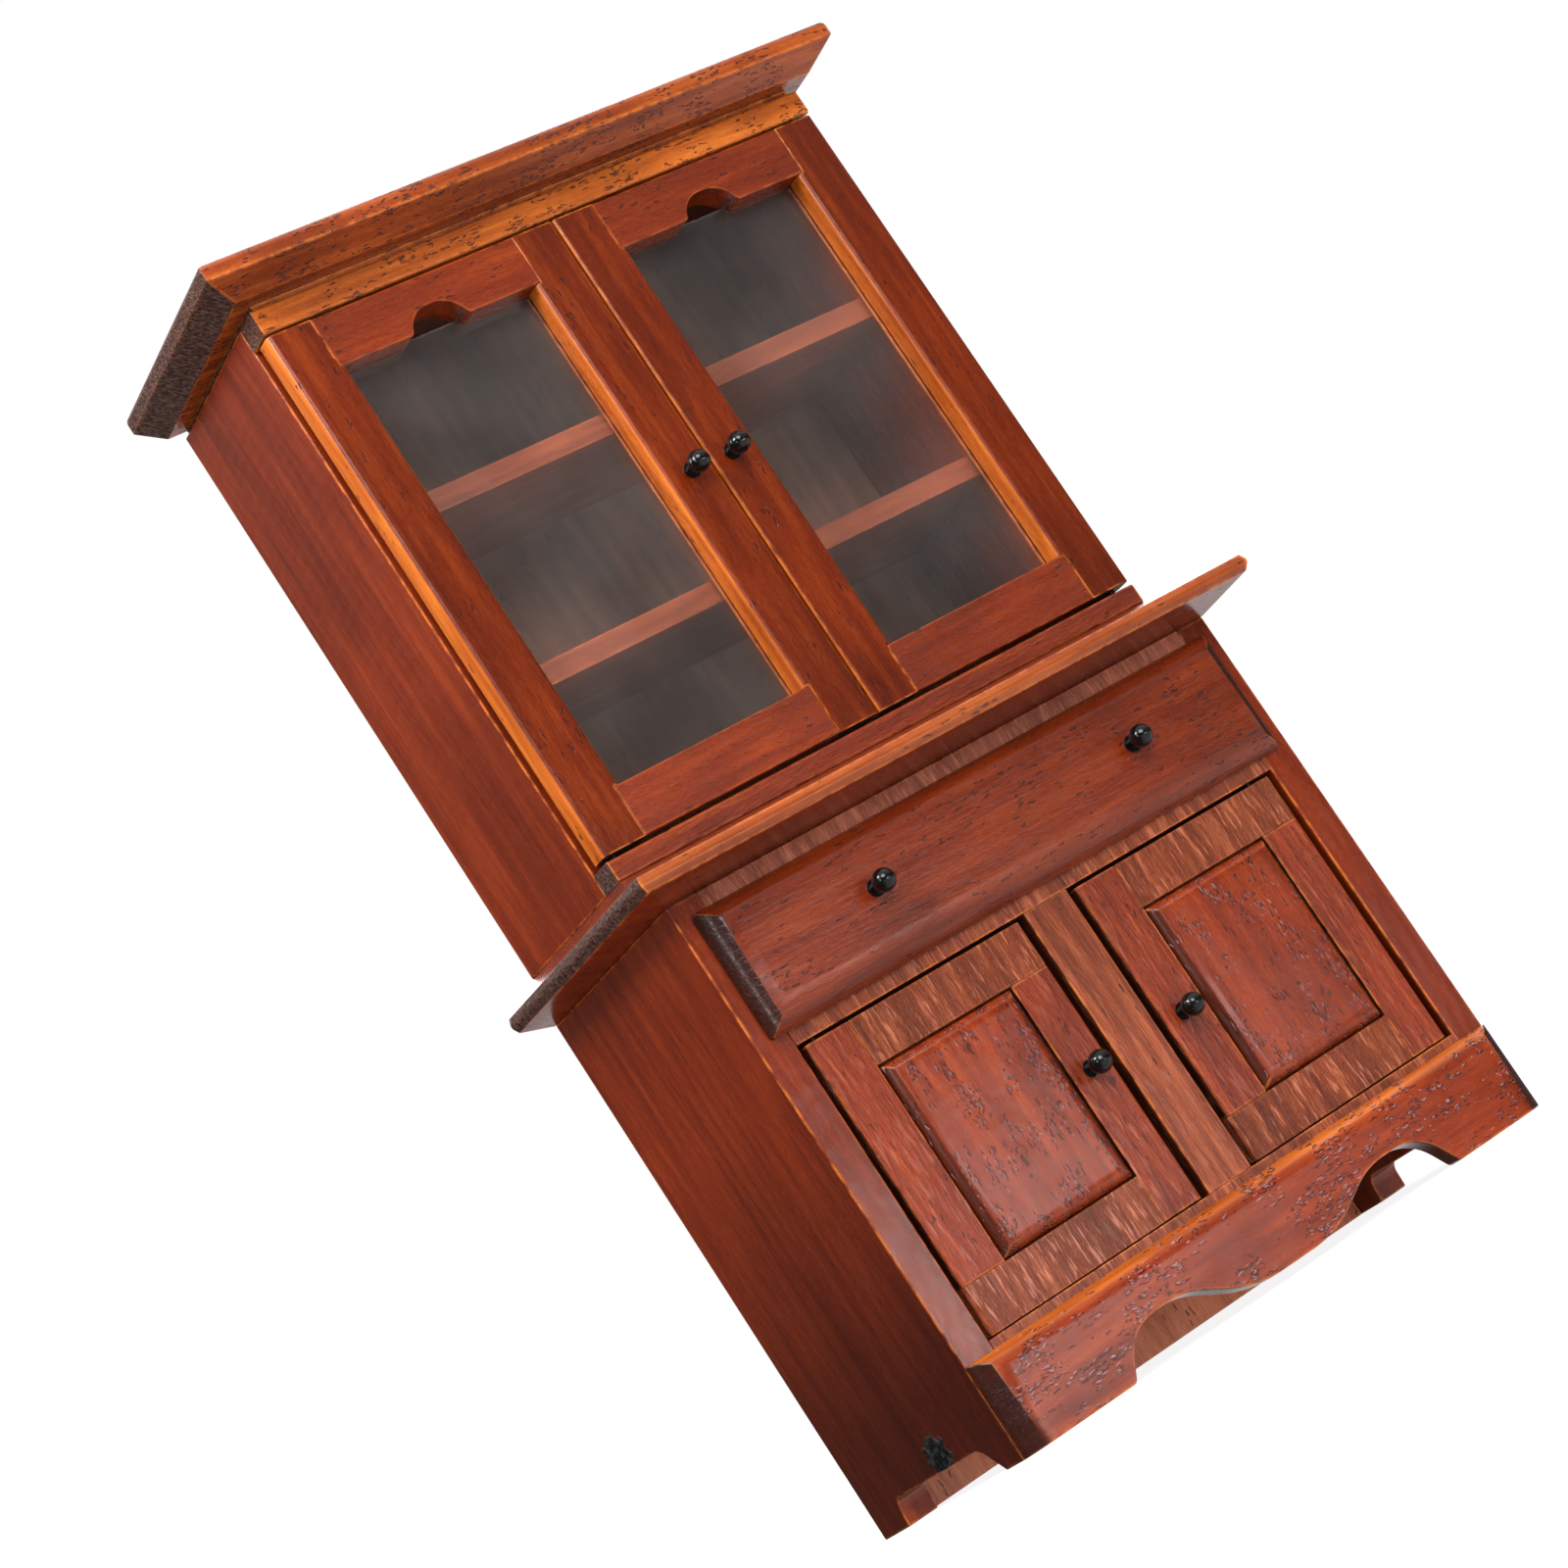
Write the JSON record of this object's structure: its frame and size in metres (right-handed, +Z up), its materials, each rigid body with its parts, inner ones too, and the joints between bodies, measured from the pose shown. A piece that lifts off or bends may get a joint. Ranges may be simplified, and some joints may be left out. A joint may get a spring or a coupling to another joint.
{
  "type": "miniature china cabinet",
  "caption": "Miniature wooden hutch: glazed upper doors over shelves, a full-width drawer and panelled lower doors, with a moulded cornice and scalloped apron.",
  "frame": {"origin": "on the surface the cabinet stands on, at the middle of its width and of its depth", "axes": "+X towards the cabinet's right as seen from the front, +Y towards its back, +Z up"},
  "size_m": [0.1, 0.047, 0.1703],
  "materials": {
    "cabinet_wood": "stained red-brown, satin varnish",
    "inner_wood": "thin stain over sawn wood, matt",
    "pane": "clear, glossy",
    "knob": "black, high gloss",
    "pin": "plain wire"
  },
  "bodies": {
    "carcass": {"lower_side_right": "cabinet_wood", "lower_side_left": "cabinet_wood", "lower_bottom_board": "cabinet_wood", "drawer_divider": "cabinet_wood", "lower_top_board": "cabinet_wood", "lower_back_panel": "inner_wood", "centre_stile": "cabinet_wood", "apron": "cabinet_wood", "countertop": "cabinet_wood", "upper_side_right": "cabinet_wood", "upper_side_left": "cabinet_wood", "upper_bottom_board": "cabinet_wood", "upper_top_board": "cabinet_wood", "shelf_lower": "cabinet_wood", "shelf_upper": "cabinet_wood", "upper_back_panel": "inner_wood", "upper_bottom_rail": "cabinet_wood", "frieze_rail": "cabinet_wood", "cornice": "cabinet_wood"},
    "glazed_door_left": {"glazed_left_hinge_stile": "cabinet_wood", "glazed_left_meeting_stile": "cabinet_wood", "glazed_left_top_rail": "cabinet_wood", "glazed_left_bottom_rail": "cabinet_wood", "glazed_left_pane": "pane", "glazed_left_knob": "knob", "glazed_left_pins": "pin"},
    "glazed_door_right": {"glazed_right_hinge_stile": "cabinet_wood", "glazed_right_meeting_stile": "cabinet_wood", "glazed_right_top_rail": "cabinet_wood", "glazed_right_bottom_rail": "cabinet_wood", "glazed_right_pane": "pane", "glazed_right_knob": "knob", "glazed_right_pins": "pin"},
    "panelled_door_left": {"panelled_left_left_stile": "cabinet_wood", "panelled_left_top_rail": "cabinet_wood", "panelled_left_right_stile": "cabinet_wood", "panelled_left_bottom_rail": "cabinet_wood", "panelled_left_panel": "cabinet_wood", "panelled_left_knob": "knob", "panelled_left_pins": "pin"},
    "panelled_door_right": {"panelled_right_left_stile": "cabinet_wood", "panelled_right_top_rail": "cabinet_wood", "panelled_right_right_stile": "cabinet_wood", "panelled_right_bottom_rail": "cabinet_wood", "panelled_right_panel": "cabinet_wood", "panelled_right_knob": "knob", "panelled_right_pins": "pin"},
    "drawer": {"drawer_front": "cabinet_wood", "drawer_side_right": "inner_wood", "drawer_side_left": "inner_wood", "drawer_back": "inner_wood", "drawer_bottom": "inner_wood", "drawer_knob_left": "knob", "drawer_knob_right": "knob"}
  },
  "joints": [
    {"name": "glazed_left_hinge", "type": "hinge", "parent": "carcass", "child": "glazed_door_left", "pos_m": [-0.0418, -0.00685, 0.12285], "axis": [0, 0, -1], "range_deg": [0, 100]},
    {"name": "glazed_right_hinge", "type": "hinge", "parent": "carcass", "child": "glazed_door_right", "pos_m": [0.0418, -0.00685, 0.12285], "axis": [0, 0, 1], "range_deg": [0, 100]},
    {"name": "panelled_left_hinge", "type": "hinge", "parent": "carcass", "child": "panelled_door_left", "pos_m": [-0.0369, -0.0141, 0.03325], "axis": [0, 0, -1], "range_deg": [0, 105]},
    {"name": "panelled_right_hinge", "type": "hinge", "parent": "carcass", "child": "panelled_door_right", "pos_m": [0.0369, -0.0141, 0.03325], "axis": [0, 0, 1], "range_deg": [0, 105]},
    {"name": "drawer_slide", "type": "slide", "parent": "carcass", "child": "drawer", "axis": [0, -1, 0], "range_m": [0, 0.024]}
  ]
}
